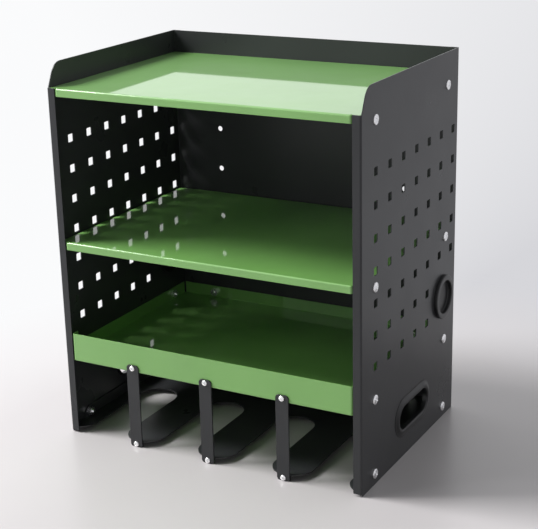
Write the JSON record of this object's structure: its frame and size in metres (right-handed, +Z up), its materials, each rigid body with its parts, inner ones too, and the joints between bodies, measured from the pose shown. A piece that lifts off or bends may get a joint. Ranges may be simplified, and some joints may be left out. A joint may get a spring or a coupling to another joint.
{
  "type": "cordless tool organizer",
  "caption": "Open steel unit with perforated side panels, two shelves, a tray and a slotted holder below that tools hang in.",
  "frame": {"origin": "on the floor, under the middle of the whole unit", "axes": "+Z up, the open front faces -Y, +X to the right of someone facing the front"},
  "size_m": [0.417, 0.2874, 0.473],
  "materials": {
    "black_steel": "fine matte powder coat",
    "green_steel": "satin powder coat",
    "zinc": "bright zinc plate",
    "black_plastic": "satin moulded"
  },
  "bodies": {
    "root": {"right_side_panel": "black_steel", "left_side_panel": "black_steel", "back_panel": "black_steel", "tool_holder": "black_steel", "strap_1": "black_steel", "strap_2": "black_steel", "strap_3": "black_steel", "top_shelf": "green_steel", "middle_shelf": "green_steel", "bottom_tray": "green_steel", "right_cable_cap": "black_plastic", "left_cable_cap": "black_plastic", "right_hand_trim": "black_plastic", "left_hand_trim": "black_plastic", "strap_top_screws": "zinc", "strap_top_nuts": "zinc", "strap_bottom_screws": "zinc", "top_shelf_side_screws": "zinc", "top_shelf_side_nuts": "zinc", "top_shelf_back_screws": "zinc", "top_shelf_back_nuts": "zinc", "middle_shelf_side_screws": "zinc", "middle_shelf_side_nuts": "zinc", "middle_shelf_back_screws": "zinc", "middle_shelf_back_nuts": "zinc", "tray_side_screws": "zinc", "tray_side_nuts": "zinc", "tray_back_screws": "zinc", "tray_back_nuts": "zinc", "holder_side_screws": "zinc", "holder_side_nuts": "zinc", "holder_back_screws": "zinc", "holder_back_nuts": "zinc"}
  },
  "joints": []
}
